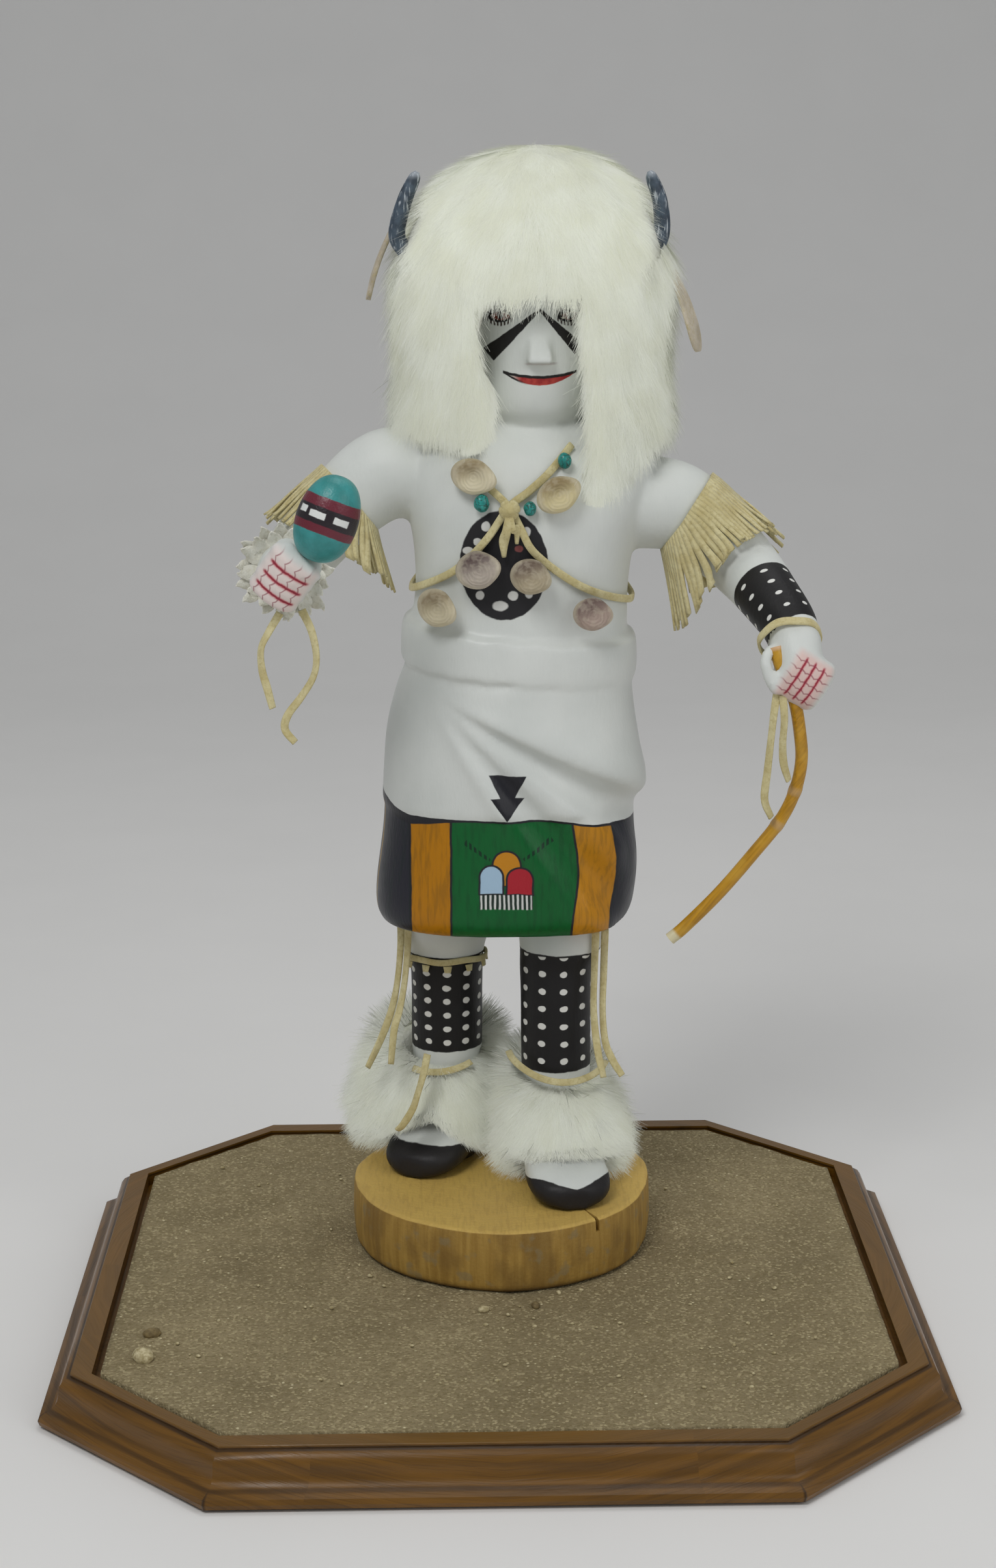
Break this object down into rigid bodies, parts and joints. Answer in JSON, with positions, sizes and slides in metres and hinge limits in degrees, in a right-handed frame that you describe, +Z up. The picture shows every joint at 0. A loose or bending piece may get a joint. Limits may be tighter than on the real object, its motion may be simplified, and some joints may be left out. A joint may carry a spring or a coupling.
{
  "type": "kachina doll",
  "caption": "Carved and painted kachina doll with a fur wig, kilt, rattle and bow, standing on a log slice set in a sand-filled octagonal wooden plinth",
  "frame": {"origin": "centre of the plinth's underside, on the standing surface", "axes": "+Z up, the doll faces -Y, +X towards the doll's left hand"},
  "size_m": [0.335, 0.335, 0.4504],
  "materials": {
    "walnut": "stained moulded hardwood, satin varnish",
    "sand": "glued coarse sand, matt",
    "log_wood": "sawn log slice without bark, thin varnish",
    "doll_paint": "carved wood, satin white paint with painted patterns",
    "fur": "white rabbit fur",
    "horn_paint": "carved horn painted blue-grey with white streaks, satin",
    "leather": "thin cream buckskin, matt",
    "rattle_paint": "teal paint with a dark red band, satin",
    "reed": "amber reed, thin varnish",
    "shell": "natural shell, smooth",
    "turquoise": "polished turquoise"
  },
  "bodies": {
    "root": {"plinth": "walnut", "sand_bed": "sand", "log_slice": "log_wood", "figure": "doll_paint", "fur_wig": "fur", "horn_right": "horn_paint", "horn_left": "horn_paint", "ear_right": "leather", "ear_left": "leather", "arm_fringe_right": "leather", "arm_fringe_left": "leather", "wrist_ruff_right": "leather", "wrist_band_left": "leather", "rattle": "rattle_paint", "bow": "reed", "bandolier_1": "leather", "bandolier_2": "leather", "bandolier_knot": "leather", "shell_1": "shell", "shell_2": "shell", "shell_3": "shell", "shell_4": "shell", "shell_5": "shell", "shell_6": "shell", "bead_1": "turquoise", "bead_2": "turquoise", "bead_3": "turquoise", "knee_garter_right": "leather", "fur_anklet_right": "fur", "fur_anklet_left": "fur", "rattle_thong_1": "leather", "rattle_thong_2": "leather", "bow_thong_1": "leather", "bow_thong_2": "leather", "leg_thong_1": "leather", "leg_thong_2": "leather", "leg_thong_3": "leather", "leg_thong_4": "leather", "ankle_thong_1": "leather"}
  },
  "joints": []
}
